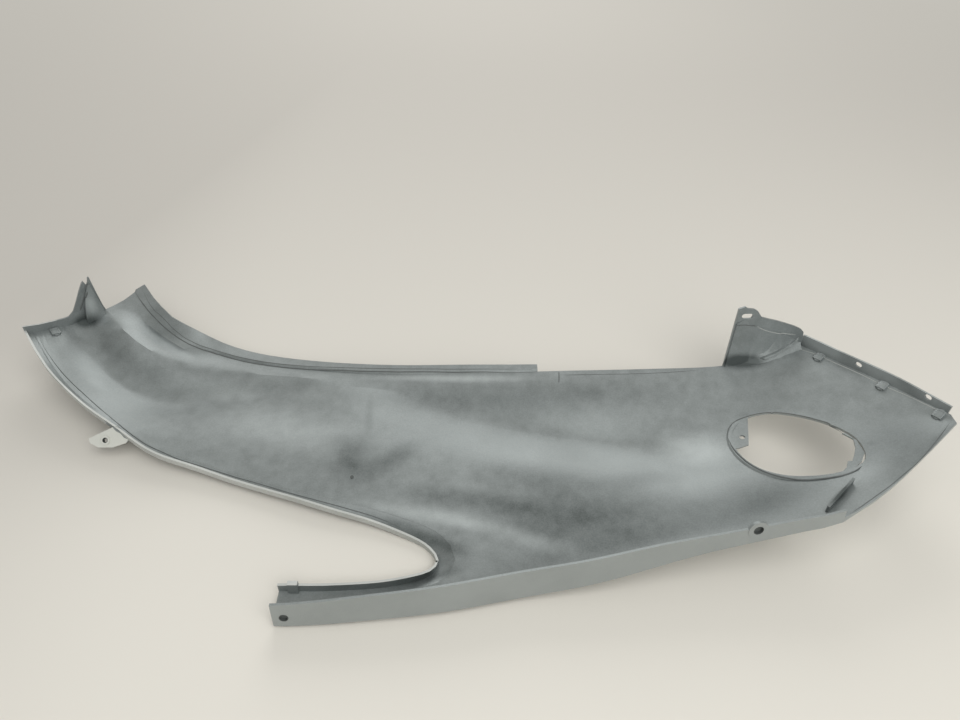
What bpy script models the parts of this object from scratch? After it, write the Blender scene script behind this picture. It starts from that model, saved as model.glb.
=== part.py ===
"""Scooter side panel: one injection-moulded shell, lying on its painted outer face.

X runs from the front arm to the tail, Y from the sill to the seat side, and Z is up,
out of the inner face. Sizes are in millimetres; placed() turns them to metres and
lays the panel on the floor as it comes to rest.
"""
import math

import bmesh
import bpy
from mathutils import Matrix, Vector
from mathutils.bvhtree import BVHTree

MM = 0.001
UP = Vector((0.0, 0.0, 1.0))

# How the panel lies: small turns about X and Y, then a shift of its lowest point to the floor
REST_ROLL = math.radians(-2.39)
REST_PITCH = math.radians(-2.111)
REST_SHIFT = (28.66, 169.99, -10.378)

# Walls of the moulding
WALL = 2.6
UPSTAND_WALL = 2.4
SINK = 0.25

# Long lines of the inner face, front to tail, each a smooth curve through (x, y, z)
SEAT_EDGE = (
    (-456, 41, 83), (-433, 15, 71), (-398, -8, 53), (-339, -28, 35), (-255, -47, 29),
    (-126, -69, 36), (0, -68, 36), (100, -64, 36), (207, -65, 40), (301, -66, 46),
    (350, -59, 54), (380, -50, 58), (401, -42, 61), (418, -66, 65), (466, -132, 76),
    (505, -198, 88),
)
ARM_STEP = (
    (-468, 29, 78), (-446, 9, 68), (-418, -6, 51), (-368, -32, 38), (-265, -59, 29),
    (-126, -79, 34), (0, -80, 32), (207, -84, 35), (350, -90, 46), (440, -118, 68),
    (505, -199, 88),
)
ARM_RIDGE = (
    (-482, 11, 78), (-454, -22, 75), (-438, -36, 68), (-390, -56, 49), (-306, -64, 34),
    (-216, -74, 33), (-126, -91, 32), (0, -95, 27), (207, -108, 29), (350, -112, 42),
    (440, -135, 65), (505, -200, 88),
)
ARM_VALLEY = (
    (-516, -20, 76), (-486, -46, 59), (-446, -82, 41), (-390, -104, 26), (-327, -98, 21),
    (-260, -88, 23), (-147, -95, 33), (-60, -112, 24), (60, -119, 15), (208, -134, 20),
    (350, -135, 38), (440, -155, 62), (505, -201, 88),
)
UPPER_CREASE = (
    (-528, -31, 79), (-466, -103, 54), (-388, -142, 34), (-265, -140, 26), (-127, -160, 29),
    (-18, -137, 17), (59, -144, 7), (142, -157, 2), (218, -183, 10), (280, -199, 24),
    (370, -185, 41), (440, -180, 61), (505, -202, 88),
)
FLANK = (
    (-540, -43, 83), (-478, -122, 59), (-368, -173, 36), (-244, -190, 26), (-127, -205, 27),
    (-18, -196, 19), (73, -213, 15), (151, -233, 14), (240, -254, 23), (370, -245, 45),
    (440, -215, 65), (505, -203, 88),
)
LOWER_CREASE = (
    (-553, -54, 88), (-495, -119, 72), (-431, -163, 52), (-362, -204, 34), (-281, -227, 23),
    (-172, -245, 22), (-53, -264, 12), (21, -276, 7), (110, -294, 8), (220, -300, 23),
    (350, -275, 47), (440, -235, 69), (505, -204, 88),
)
SILL_EDGE = (
    (-568, -66, 91), (-508, -141, 75), (-439, -194, 54), (-368, -239, 33), (-296, -290, 15),
    (-239, -362, 8), (-214, -386, 7), (-194, -388.5, 7), (-158, -387, 6), (-122, -384, 6), (-38, -373, 4),
    (39, -357, 3), (117, -345, 10), (216, -325, 27), (315, -310, 43), (357, -304, 51),
    (401, -283, 61),
    (452, -247, 73), (505, -206, 88),
)
LONG_LINES = (SEAT_EDGE, ARM_STEP, ARM_RIDGE, ARM_VALLEY, UPPER_CREASE, FLANK, LOWER_CREASE,
              SILL_EDGE)
STEPS_BETWEEN_LINES = (2, 2, 3, 4, 4, 3, 4)
ROWS = 58
NOSE_X = 503.0

# Joggled lip along the seat edge, tucked behind the next panel
LIP_WIDTHS = ((-456, 13), (-339, 14.5), (-255, 12), (-126, 9.5), (0, 8), (72, 7))
LIP_JOGGLE = 2.5
LIP_RAMP = 2.0
LIP_END_X = 72.0

# Sill wall turned up along the near edge: (x, height) pairs, and its lean over the panel
SILL_WALL_HEIGHTS = (
    (-193, 25), (-122, 29), (-5, 32.5), (117, 31), (166, 27.5), (230, 19.5), (357, 13),
)
SILL_WALL_LEAN = math.radians(8)
SILL_WALL_FRONT_X = -193.0
SILL_WALL_REAR_X = 357.0

# Screw holes through the sill wall: (x, height, radius), and the raised disc round the rear one
FRONT_SILL_HOLE = (-182.0, 8.0, 4.4)
REAR_SILL_HOLE = (271.0, 13.5, 5.2)
SILL_DISC_RADIUS = 10.4
SILL_DISC_WALL = 3.2

# Lower edge of the arm and the U-shaped cut-out, ending at the lower arm's tip. Each entry has
# the plan x and y, then the width of the rolled band, how far it rolls down, the rim's height
CUT_OUT_EDGE = (
    (-555, -52, 8, 0, 4.5), (-526, -87, 8, 0, 4.5), (-496, -118, 8, 0, 4.5),
    (-452, -152, 8, 0, 4.5), (-414, -174, 8, 0, 4.5), (-363, -203, 8, 0.5, 4.5),
    (-309, -219, 9, 1, 4.5), (-260, -235, 9, 2, 4.5), (-207, -252, 10, 3, 4.5),
    (-155, -268, 12, 4, 4.5), (-114, -279, 14, 5, 4.5), (-81, -291, 16, 6, 4.5),
    (-60, -301, 18, 6.5, 4.5), (-49, -311, 19, 6.5, 5), (-44, -322, 19, 6, 6),
    (-50, -334, 15, 4, 7.5), (-70, -344, 10, 1.5, 9), (-100, -351, 8, 0.5, 9),
    (-145, -355, 8, 0, 9), (-194, -356, 8, 0, 9),
)
RIM_STATIONS = 98
RIM_OVERLAP = 2.0
# Relief notch through the rim at the head of the U: its depth and width, and its plan place
RELIEF_NOTCH = (5.0, 2.4)
RELIEF_NOTCH_AT = (-45.0, -323.0)
ARM_END_X = CUT_OUT_EDGE[-1][0]
LOWER_ARM_STEP = 12.0

# Front end flange, which rises to a pointed ear: (distance from the tip, height, lean outwards)
FRONT_FLANGE = (
    (0, 10, 0), (44, 11, 0), (52, 12, 0), (58, 16, 0), (64, 25, 0), (72, 38, 0), (79, 48, 0),
    (81.5, 50, 0), (83.5, 43, 0), (86, 46, 0), (88, 52, 0), (89.5, 52, 0), (91, 26, 0),
    (92.5, 8, 0), (94, 0.5, 0),
)
# Leaf inside the ear, which leans on it: the same three numbers
EAR_LEAF = (
    (68, 6, 1), (72, 21, 2.5), (78, 35, 4), (84, 45, 5), (86.5, 46, 5), (88.5, 30, 3.5),
    (90.5, 12, 1.5),
)
EAR_LEAF_INSET = 9.0

# Tall flap on the seat side: (distance along the edge, height, lean outwards)
FLAP = (
    (0, 0.5, 0), (8.5, 74, 16), (20, 73, 15), (29, 70, 14), (34, 66, 13), (37, 61, 12),
    (40, 57, 11), (62, 47, 8), (86, 34, 3), (95, 28, 0), (99, 23, -1), (101, 14, -1),
    (102.5, 6, 0),
)
# Thicker face of the flap, whose top edge is a small ledge below the flap's own
FLAP_FACE = (
    (2, 0.5, 0), (8.5, 56, 12), (30, 49, 10), (52, 38, 7), (76, 25, 3), (90, 15, 1), (97, 8, 0),
)
FLAP_FACE_INSET = 1.2
FLAP_FROM_X = 301.0
FLAP_PATH_STEPS = 6
FLAP_FILLET = 9.0
FLAP_FILLET_FROM = 24.0
FLAP_FILLET_SHORT_OF_END = 4.0
FLAP_FILLET_STEPS = 8
# The fillet's size at its front, and its hollow's place as shares of its reach and its height
FLAP_FILLET_START = 0.25
FLAP_FILLET_HOLLOW = (0.45, 0.38)
FLAP_SLOT = (13.5, 6.5)
FLAP_SLOT_AT = (21.0, 63.0)

# Tail flange past the flap: (distance along the edge, height, lean outwards)
TAIL_FLANGE = ((0, 14, 2), (60, 13, 2), (120, 12, 2), (181, 9, 1))
TAIL_FROM_X = 402.0
TAIL_PATH_STEPS = 8
FLANGE_OVERLAP = 1.0
TAIL_HOLES_AT = (74.0, 156.0)
TAIL_HOLE = (8.0, 5.5)
TAIL_HOLE_HEIGHT = 7.0

# Opening for the indicator: plan x and y, and how high the pocket's rim stands there
OPENING = (
    (288, -172, 1.8), (295, -157, 1.6), (312, -143, 1), (338, -139, 0.7), (359, -145, 0.6),
    (382, -158, 0.6), (402, -177, 0.7), (412, -197, 0.8), (412, -221, 0.8), (404, -234, 0.9),
    (380, -241, 1.2), (353, -241, 1.4), (329, -236, 1.6), (309, -225, 1.8), (296, -209, 1.9),
    (289, -191, 1.9),
)
OPENING_STATIONS = 48
POCKET_CREST = 3.8
POCKET_FOOT = 5.6
# Flat plates at the pocket's level, joined into its rim: outline, then height over the face
OPENING_TAB = ((284, -187), (286, -166), (296, -148), (309, -141), (314, -141), (304, -184),
               (292, -187))
OPENING_WEB = (
    (402, -186), (409, -198), (406, -211), (401, -221), (396, -229), (392, -228), (388, -236),
    (381, -242), (394, -239), (404, -232), (411, -221), (411, -201), (405, -187),
)
PLATE_WALL = 1.8
PLATE_LIFT = 0.2
OPENING_TAB_HOLE = (300.0, -172.0)
OPENING_TAB_HOLE_RADIUS = 3.0

# Screw tab below the arm: outline in its own plane, which faces down the lean of the tab
SCREW_TAB = (
    (-19, 2), (-17.5, -3), (-8, -8), (8, -8), (23, -3), (26, 1), (12, 16.5), (7, 14.5),
)
SCREW_TAB_CENTRE = (-419.0, -186.0, 38.7)
SCREW_TAB_TILT = math.radians(45)
SCREW_TAB_WALL = 2.4
SCREW_HOLE_RADIUS = 3.1
SCREW_RING_RADIUS = 5.2
SCREW_RING_HEIGHT = 1.2

# Rib at the rear of the sill
RIB_FROM = (346.0, -293.0)
RIB_TO = (382.0, -261.0)
RIB_HEIGHT = 8.0
RIB_STEPS = 4

# Clip tongues: distances along the tail and front flanges, and each one's size on the face
TAIL_CLIPS_AT = (31.0, 110.0, 176.0)
FRONT_CLIPS_AT = (29.0,)
CLIP_TONGUE = (14.0, 10.0)
CLIP_TONGUE_INSET = 6.5
CLIP_TONGUE_RISE = 1.6
CLIP_SLOT = (7.0, 2.6)
CLIP_SLOT_INSET = 2.9
# Upright clip block on the lower arm's rim: plan position, then length, depth and height
LOWER_CLIP_AT = (-179.0, -358.2)
LOWER_CLIP = (10.0, 5.0, 13.5)

# Heights the cutting blocks reach from and to, and one near the face to look for it from
CUT_FROM_Z = -60.0
CUT_TO_Z = 220.0
SEARCH_FROM_Z = 50.0
# How far cutting blocks stand clear of the panel in plan, and past the arm's tip
BLOCK_CLEARANCE = 60.0
TIP_CLEARANCE = 14.0
BORE_DEPTH = 30.0
# Half the distance over which a path's direction and the face's slope are taken
PATH_REACH = 1.5
SLOPE_REACH = 3.0


def spline(points):
    """Return a smooth function of the first coordinate through the points."""
    keys = [float(point[0]) for point in points]
    values = [[float(value) for value in point[1:]] for point in points]
    last = len(keys) - 1
    slopes = []
    for i in range(last + 1):
        low = max(i - 1, 0)
        high = min(i + 1, last)
        span = keys[high] - keys[low]
        slopes.append([(b - a) / span for a, b in zip(values[low], values[high])])

    def at(key):
        i = 0
        while i < last - 1 and key > keys[i + 1]:
            i += 1
        span = keys[i + 1] - keys[i]
        t = min(max((key - keys[i]) / span, 0.0), 1.0)
        ends = (1 + 2 * t) * (1 - t) ** 2, t * t * (3 - 2 * t)
        pulls = t * (1 - t) ** 2 * span, t * t * (t - 1) * span
        return [ends[0] * a + ends[1] * b + pulls[0] * m + pulls[1] * n for a, b, m, n in
                zip(values[i], values[i + 1], slopes[i], slopes[i + 1])]

    return at


def along(points):
    """Return the points as Vectors keyed by the distance travelled, and the whole distance."""
    keyed = []
    travelled = 0.0
    for i, point in enumerate(points):
        if i:
            travelled += (Vector(point) - Vector(points[i - 1])).length
        keyed.append((travelled, *point))
    return keyed, travelled


def placed(point):
    """Return a point of the panel's own frame, in millimetres, at its place in the world."""
    turn = Matrix.Rotation(REST_ROLL, 4, "X") @ Matrix.Rotation(REST_PITCH, 4, "Y")
    return (turn @ Vector(point) + Vector(REST_SHIFT)) * MM


def placed_frame(origin, across, upward):
    """Return the world matrix of a frame at origin, with X across and Z upward."""
    z_axis = upward.normalized()
    x_axis = (across - z_axis * across.dot(z_axis)).normalized()
    y_axis = z_axis.cross(x_axis)
    turn = Matrix.Rotation(REST_ROLL, 4, "X") @ Matrix.Rotation(REST_PITCH, 4, "Y")
    axes = Matrix((x_axis, y_axis, z_axis)).transposed().to_4x4()
    return Matrix.Translation(placed(origin)) @ turn @ axes


def line_point(line, start_x, share):
    """Return the point of a long line at a share of the way from its start to the nose."""
    x = start_x + (NOSE_X - start_x) * share
    y, z = line(x)
    return Vector((x, y, z))


def share_at(points, x):
    """Return the share of the way at which a long line reaches x."""
    return (x - points[0][0]) / (NOSE_X - points[0][0])


def row_shares():
    """Return the rows' shares, with one snapped to each place where a feature starts or ends."""
    shares = [i / ROWS for i in range(ROWS + 1)]
    stops = (share_at(SEAT_EDGE, LIP_END_X), share_at(SILL_EDGE, SILL_WALL_FRONT_X - WALL * 3),
             share_at(SILL_EDGE, SILL_WALL_REAR_X))
    for stop in stops:
        nearest = min(range(1, ROWS), key=lambda i: abs(shares[i] - stop))
        shares[nearest] = stop
    return shares


def section(lines, share):
    """Return one smooth section of the inner face, from the seat edge to the sill edge."""
    knots = [line_point(line, points[0][0], share) for line, points in zip(lines, LONG_LINES)]
    keyed, _ = along(knots)
    curve = spline(keyed)
    row = [knots[0]]
    for i, steps in enumerate(STEPS_BETWEEN_LINES):
        start, end = keyed[i][0], keyed[i + 1][0]
        for step in range(1, steps + 1):
            row.append(Vector(curve(start + (end - start) * step / steps)))
    return row


def inner_face():
    """Return the inner face as vertices and quads, with the lip and the sill wall on it."""
    lines = [spline(points) for points in LONG_LINES]
    wall_height = spline(SILL_WALL_HEIGHTS)
    lip_width = spline(LIP_WIDTHS)
    lip_end = share_at(SEAT_EDGE, LIP_END_X)
    wall_from = share_at(SILL_EDGE, SILL_WALL_FRONT_X - WALL * 3)
    wall_to = share_at(SILL_EDGE, SILL_WALL_REAR_X)
    shares = row_shares()
    rows = [section(lines, share) for share in shares]
    grid = []
    for i, row in enumerate(rows):
        ahead = rows[min(i + 1, len(rows) - 1)]
        behind = rows[max(i - 1, 0)]
        run = (ahead[0] - behind[0]).normalized()
        out = row[0] - row[1]
        out = (out - run * out.dot(run)).normalized()
        ramp = row[0] + out * LIP_RAMP + UP * LIP_JOGGLE
        tip = ramp + out * lip_width(row[0].x)[0]
        sill_run = (ahead[-1] - behind[-1]).normalized()
        over = UP.cross(sill_run).normalized()
        height = wall_height(row[-1].x)[0]
        crest = row[-1] + (UP * math.cos(SILL_WALL_LEAN) + over * math.sin(SILL_WALL_LEAN)) * height
        grid.append([tip, ramp, *row, crest])
    columns = len(grid[0])
    tolerance = 1e-6
    quads = []
    for i in range(len(grid) - 1):
        for j in range(columns - 1):
            on_lip = j < 2
            on_wall = j == columns - 2
            if on_lip and shares[i + 1] > lip_end + tolerance:
                continue
            if on_wall and (shares[i] < wall_from - tolerance or shares[i + 1] > wall_to + tolerance):
                continue
            first = i * columns + j
            quads.append((first, first + 1, first + columns + 1, first + columns))
    return [point for line in grid for point in line], quads, columns


class Heights:
    """Height of the inner face above any point of the plan."""

    def __init__(self, points, quads, columns):
        face = [quad for quad in quads if 2 <= quad[0] % columns < columns - 2]
        self.tree = BVHTree.FromPolygons(points, face)

    def at(self, x, y):
        """Return the height at (x, y), or that of the nearest place on the face."""
        hit = self.tree.ray_cast(Vector((x, y, CUT_TO_Z)), -UP)[0]
        if hit is not None:
            return hit.z
        near = Vector((x, y, SEARCH_FROM_Z))
        for _ in range(6):
            near.z = self.tree.find_nearest(near)[0].z
        return near.z

    def plane(self, outline):
        """Return the plane (x slope, y slope, height at x = y = 0) that fits the outline best."""
        rows = [Vector((x, y, 1.0)) for x, y in outline]
        heights = [self.at(x, y) for x, y in outline]
        sums = Matrix([[sum(row[i] * row[j] for row in rows) for j in range(3)] for i in range(3)])
        known = Vector([sum(row[i] * z for row, z in zip(rows, heights)) for i in range(3)])
        return sums.inverted() @ known

    def normal(self, x, y):
        """Return the upward normal of the face at (x, y)."""
        span = 2 * SLOPE_REACH
        fall_x = (self.at(x - SLOPE_REACH, y) - self.at(x + SLOPE_REACH, y)) / span
        fall_y = (self.at(x, y - SLOPE_REACH) - self.at(x, y + SLOPE_REACH)) / span
        return Vector((fall_x, fall_y, 1.0)).normalized()


def new_object(name, bm, collection):
    """Return a new object made of the bmesh, linked to the collection."""
    bmesh.ops.remove_doubles(bm, verts=bm.verts, dist=1e-6)
    mesh = bpy.data.meshes.new(name)
    bm.to_mesh(mesh)
    bm.free()
    obj = bpy.data.objects.new(name, mesh)
    collection.objects.link(obj)
    return obj


def helper(obj):
    """Mark an object as a guide that is only cut with or joined on."""
    obj.display_type = "WIRE"
    obj.hide_render = True
    return obj


def lofted(name, sections, collection, closed=False):
    """Loft a solid through sections of equal count, capped unless it closes on itself."""
    bm = bmesh.new()
    rings = [[bm.verts.new(placed(point)) for point in ring] for ring in sections]
    count = len(rings[0])
    spans = len(rings) if closed else len(rings) - 1
    for i in range(spans):
        near, far = rings[i], rings[(i + 1) % len(rings)]
        for j in range(count):
            k = (j + 1) % count
            bm.faces.new((near[j], near[k], far[k], far[j]))
    if not closed:
        bm.faces.new(rings[0][::-1])
        bm.faces.new(rings[-1])
    bmesh.ops.recalc_face_normals(bm, faces=bm.faces)
    bmesh.ops.triangulate(bm, faces=bm.faces)
    return helper(new_object(name, bm, collection))


def prism(name, outline, low, high, collection):
    """Return an upright solid of a plan outline, from height low to height high."""
    rings = [[Vector((x, y, z)) for x, y in outline] for z in (low, high)]
    return lofted(name, rings, collection)


def cylinder(name, frame, radius, depth, collection, segments=24):
    """Return a round solid along the frame's Z axis, centred on its origin."""
    bm = bmesh.new()
    bmesh.ops.create_cone(bm, cap_ends=True, segments=segments, radius1=radius * MM,
                          radius2=radius * MM, depth=depth * MM, matrix=frame)
    return helper(new_object(name, bm, collection))


def slot(name, frame, size, depth, collection):
    """Return a round-ended solid along the frame's Z axis, long in its X."""
    length, width = size
    radius = width / 2
    reach = length / 2 - radius
    outline = []
    for side in (1, -1):
        for step in range(7):
            angle = side * math.pi / 2 - math.pi * step / 6
            outline.append((side * reach + radius * math.cos(angle), radius * math.sin(angle)))
    bm = bmesh.new()
    ends = []
    for z in (-depth / 2, depth / 2):
        ends.append([bm.verts.new(frame @ (Vector((x, y, z)) * MM)) for x, y in outline])
    for j in range(len(outline)):
        k = (j + 1) % len(outline)
        bm.faces.new((ends[0][j], ends[0][k], ends[1][k], ends[1][j]))
    bm.faces.new(ends[0][::-1])
    bm.faces.new(ends[1])
    bmesh.ops.recalc_face_normals(bm, faces=bm.faces)
    return helper(new_object(name, bm, collection))


def box(name, frame, size, collection):
    """Return a block of the given size, centred on the frame."""
    bm = bmesh.new()
    bmesh.ops.create_cube(bm, size=1.0)
    scale = Matrix.Diagonal((*[side * MM for side in size], 1.0))
    bmesh.ops.transform(bm, matrix=frame @ scale, verts=bm.verts)
    return helper(new_object(name, bm, collection))


def cut_out_path():
    """Return stations of the arm and cut-out edge as (point, inward, band, drop, height)."""
    keyed, whole = along([entry[:2] for entry in CUT_OUT_EDGE])
    curve = spline([(*key, *entry[2:]) for key, entry in zip(keyed, CUT_OUT_EDGE)])
    stations = []
    for i in range(RIM_STATIONS + 1):
        here = whole * i / RIM_STATIONS
        x, y, band, drop, height = curve(here)
        ahead = Vector(curve(min(here + PATH_REACH, whole))[:2])
        behind = Vector(curve(max(here - PATH_REACH, 0.0))[:2])
        run = (ahead - behind).normalized()
        stations.append((Vector((x, y)), Vector((-run.y, run.x)), band, drop, height))
    return stations


def cut_out_block(stations, collection):
    """Return the block that cuts the sheet away outside the arm, the U and the lower arm."""
    outline = [point + inward * band for point, inward, band, _, _ in stations]
    outline[-1].x = ARM_END_X
    first = stations[0][0]
    sill_y = spline(SILL_EDGE)(SILL_WALL_FRONT_X)[0]
    corners = (
        (ARM_END_X, sill_y + LOWER_ARM_STEP), (SILL_WALL_FRONT_X, sill_y + LOWER_ARM_STEP),
        (SILL_WALL_FRONT_X, sill_y - BLOCK_CLEARANCE),
        (first.x - BLOCK_CLEARANCE, sill_y - BLOCK_CLEARANCE),
        (first.x - BLOCK_CLEARANCE, first.y + TIP_CLEARANCE),
        (first.x - TIP_CLEARANCE, first.y + TIP_CLEARANCE),
    )
    plan = [(point.x, point.y) for point in outline] + list(corners)
    return prism("cut_out_block", plan, CUT_FROM_Z, CUT_TO_Z, collection)


def rim(stations, heights, collection):
    """Return the rolled band and rim that edge the arm and the U, as one lofted bar."""
    sections = []
    for point, inward, band, drop, height in stations:

        def at(depth, lift, sag, point=point, inward=inward):
            spot = point + inward * depth
            return Vector((spot.x, spot.y, heights.at(spot.x, spot.y) + lift - sag))

        sections.append((
            at(band + RIM_OVERLAP, -WALL * 0.35, 0.0),
            at(band, -SINK, 0.0),
            at(UPSTAND_WALL, -SINK, drop),
            at(UPSTAND_WALL, height, drop),
            at(0.0, height, drop),
            at(0.0, SINK - WALL, drop),
            at(band, SINK - WALL, 0.0),
            at(band + RIM_OVERLAP, -WALL * 0.65, 0.0),
        ))
    return lofted("rim", sections, collection)


def upstand(name, path, profile, root, heights, collection):
    """Return a wall standing on a plan path, rooted that deep in the sheet.

    The profile gives (distance along the path, height, lean outwards) from its start.
    """
    keyed, _ = along(path)
    curve = spline(keyed)
    shape = spline(profile)
    distances = sorted({float(entry[0]) for entry in profile} |
                       {key[0] for key in keyed if profile[0][0] < key[0] < profile[-1][0]})
    sections = []
    for distance in distances:
        x, y = curve(distance)
        run = direction(curve, distance)
        outward = Vector((-run.y, run.x, 0.0))
        height, lean = shape(distance)
        foot = Vector((x, y, heights.at(x, y))) - outward * UPSTAND_WALL / 2
        low = foot - UP * root
        top = foot + UP * height + outward * lean
        thick = outward * UPSTAND_WALL
        sections.append((low, low + thick, top + thick, top))
    return lofted(name, sections, collection)


def direction(curve, distance):
    """Return the unit direction of a plan path at a distance along it."""
    ahead = Vector(curve(distance + PATH_REACH)[:2])
    behind = Vector(curve(distance - PATH_REACH)[:2])
    return (ahead - behind).normalized()


def plan_path(line, x_from, x_to, count):
    """Return plan points of a long line between two places along X."""
    curve = spline(line)
    path = []
    for i in range(count + 1):
        x = x_from + (x_to - x_from) * i / count
        path.append((x, curve(x)[0]))
    return path


def inset(path, distance):
    """Return the plan path moved sideways towards the panel by the distance."""
    moved = []
    for i, point in enumerate(path):
        ahead = Vector(path[min(i + 1, len(path) - 1)])
        behind = Vector(path[max(i - 1, 0)])
        run = (ahead - behind).normalized()
        moved.append((point[0] + run.y * distance, point[1] - run.x * distance))
    return moved


def opening_stations():
    """Return stations round the indicator opening as (point, outward, rim height)."""
    ends = len(OPENING)
    ring = OPENING[-2:] + OPENING + OPENING[:3]
    keyed, _ = along([entry[:2] for entry in ring])
    curve = spline([(*key, entry[2]) for key, entry in zip(keyed, ring)])
    start, end = keyed[2][0], keyed[2 + ends][0]
    stations = []
    for i in range(OPENING_STATIONS):
        here = start + (end - start) * i / OPENING_STATIONS
        x, y, height = curve(here)
        run = direction(curve, here)
        stations.append((Vector((x, y)), Vector((-run.y, run.x)), height))
    return stations


def opening_rim(stations, heights, collection):
    """Return the sloping rim of the pocket round the indicator opening."""
    sections = []
    for point, outward, height in stations:

        def at(reach, lift, point=point, outward=outward):
            spot = point + outward * reach
            return Vector((spot.x, spot.y, heights.at(spot.x, spot.y) + lift))

        sections.append((
            at(0.0, SINK - WALL),
            at(POCKET_FOOT, SINK - WALL),
            at(POCKET_FOOT, -SINK),
            at(POCKET_CREST, height),
            at(0.0, height),
        ))
    return lofted("opening_rim", sections, collection, closed=True)


def flat_plate(name, outline, heights, collection):
    """Return a flat plate of a plan outline, at the level of the pocket's rim."""
    slope_x, slope_y, base = heights.plane(outline)
    rings = []
    for lift in (PLATE_LIFT - PLATE_WALL / 2, PLATE_LIFT + PLATE_WALL / 2):
        rings.append([Vector((x, y, base + slope_x * x + slope_y * y + lift)) for x, y in outline])
    return lofted(name, rings, collection)


def side_frame(path, distance, lift, heights):
    """Return a frame on an upright wall over a plan path, with Z square to the wall."""
    keyed, _ = along(path)
    curve = spline(keyed)
    x, y = curve(distance)
    run = direction(curve, distance)
    across = Vector((run.x, run.y, 0.0))
    outward = Vector((-run.y, run.x, 0.0))
    return placed_frame((x, y, heights.at(x, y) + lift), across, outward)


def build_sheet(points, quads, collection):
    """Return the moulded sheet, thickened towards its painted side."""
    bm = bmesh.new()
    used = sorted({index for quad in quads for index in quad})
    verts = {index: bm.verts.new(placed(points[index])) for index in used}
    for quad in quads:
        bm.faces.new([verts[index] for index in quad])
    bmesh.ops.recalc_face_normals(bm, faces=bm.faces)
    middle = bm.faces[:][len(bm.faces) // 2]
    if middle.normal.z < 0:
        bmesh.ops.reverse_faces(bm, faces=bm.faces)
    sheet = new_object("side_panel", bm, collection)
    wall = sheet.modifiers.new("wall", "SOLIDIFY")
    wall.thickness = WALL * MM
    wall.offset = -1.0
    wall.use_even_offset = True
    sheet.modifiers.new("plain_facets", "TRIANGULATE")
    return sheet


def combine(target, tool, operation):
    """Cut the tool out of the target, or join it on."""
    modifier = target.modifiers.new(tool.name, "BOOLEAN")
    modifier.operation = operation
    modifier.solver = "EXACT"
    modifier.object = tool


def clip(name, path, distance, heights, collection):
    """Return a clip's low tongue on the face, and the slot through its root by the flange."""
    keyed, _ = along(path)
    curve = spline(keyed)
    x, y = curve(distance)
    run = direction(curve, distance)
    outward = Vector((-run.y, run.x, 0.0))
    spot = Vector((x, y, 0.0)) - outward * CLIP_TONGUE_INSET
    upward = heights.normal(spot.x, spot.y)
    foot = (spot.x, spot.y, heights.at(spot.x, spot.y) - WALL / 2 + CLIP_TONGUE_RISE)
    tongue = slot(name + "_tongue", placed_frame(foot, outward, upward), CLIP_TONGUE, WALL, collection)
    root = Vector((x, y, 0.0)) - outward * CLIP_SLOT_INSET
    root.z = heights.at(root.x, root.y)
    frame = placed_frame(root, Vector((run.x, run.y, 0.0)), upward)
    gap = box(name + "_slot", frame, (*CLIP_SLOT, WALL * 4), collection)
    return tongue, gap


def lower_clip(heights, collection):
    """Return the upright clip block on the lower arm's rim."""
    x, y = LOWER_CLIP_AT
    length, depth, height = LOWER_CLIP
    middle = (x, y, heights.at(x, y) + (height - SINK) / 2)
    frame = placed_frame(middle, Vector((1.0, 0.0, 0.0)), UP)
    return box("lower_clip", frame, (length, depth, height + SINK), collection)


def sill_frame(hole, inward):
    """Return a frame on the sill wall at a hole, with Z square to the leaning wall."""
    x, height, _ = hole
    curve = spline(SILL_EDGE)
    y, z = curve(x)
    across = Vector((2.0, curve(x + 1.0)[0] - curve(x - 1.0)[0], 0.0)).normalized()
    side = Vector((-across.y, across.x, 0.0))
    square = side * math.cos(SILL_WALL_LEAN) - UP * math.sin(SILL_WALL_LEAN)
    up_wall = UP * math.cos(SILL_WALL_LEAN) + side * math.sin(SILL_WALL_LEAN)
    middle = Vector((x, y, z)) + up_wall * height - square * inward
    return placed_frame(middle, across, square)


def screw_tab(collection):
    """Return the screw tab's plate, its ring and its hole."""
    across = Vector((1.0, 0.0, 0.0))
    facing = Vector((0.0, -math.sin(SCREW_TAB_TILT), math.cos(SCREW_TAB_TILT)))
    frame = placed_frame(SCREW_TAB_CENTRE, across, facing)
    bm = bmesh.new()
    ends = []
    for z in (-SCREW_TAB_WALL / 2, SCREW_TAB_WALL / 2):
        ends.append([bm.verts.new(frame @ (Vector((x, y, z)) * MM)) for x, y in SCREW_TAB])
    count = len(SCREW_TAB)
    for j in range(count):
        k = (j + 1) % count
        bm.faces.new((ends[0][j], ends[0][k], ends[1][k], ends[1][j]))
    bm.faces.new(ends[0][::-1])
    bm.faces.new(ends[1])
    bmesh.ops.recalc_face_normals(bm, faces=bm.faces)
    plate = helper(new_object("screw_tab", bm, collection))
    ring_height = SCREW_TAB_WALL + 2 * SCREW_RING_HEIGHT
    ring = cylinder("screw_ring", frame, SCREW_RING_RADIUS, ring_height, collection)
    hole = cylinder("screw_hole", frame, SCREW_HOLE_RADIUS, ring_height * 3, collection)
    return plate, ring, hole


def rib(heights, collection):
    """Return the upright rib at the rear of the sill."""
    start, end = Vector(RIB_FROM), Vector(RIB_TO)
    run = (end - start).normalized()
    side = Vector((-run.y, run.x, 0.0)) * UPSTAND_WALL / 2
    sections = []
    for i in range(RIB_STEPS + 1):
        spot = start.lerp(end, i / RIB_STEPS)
        foot = Vector((spot.x, spot.y, heights.at(spot.x, spot.y)))
        low = foot - UP * WALL / 2
        top = foot + UP * RIB_HEIGHT
        sections.append((low - side, low + side, top + side, top - side))
    return lofted("rib", sections, collection)


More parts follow.
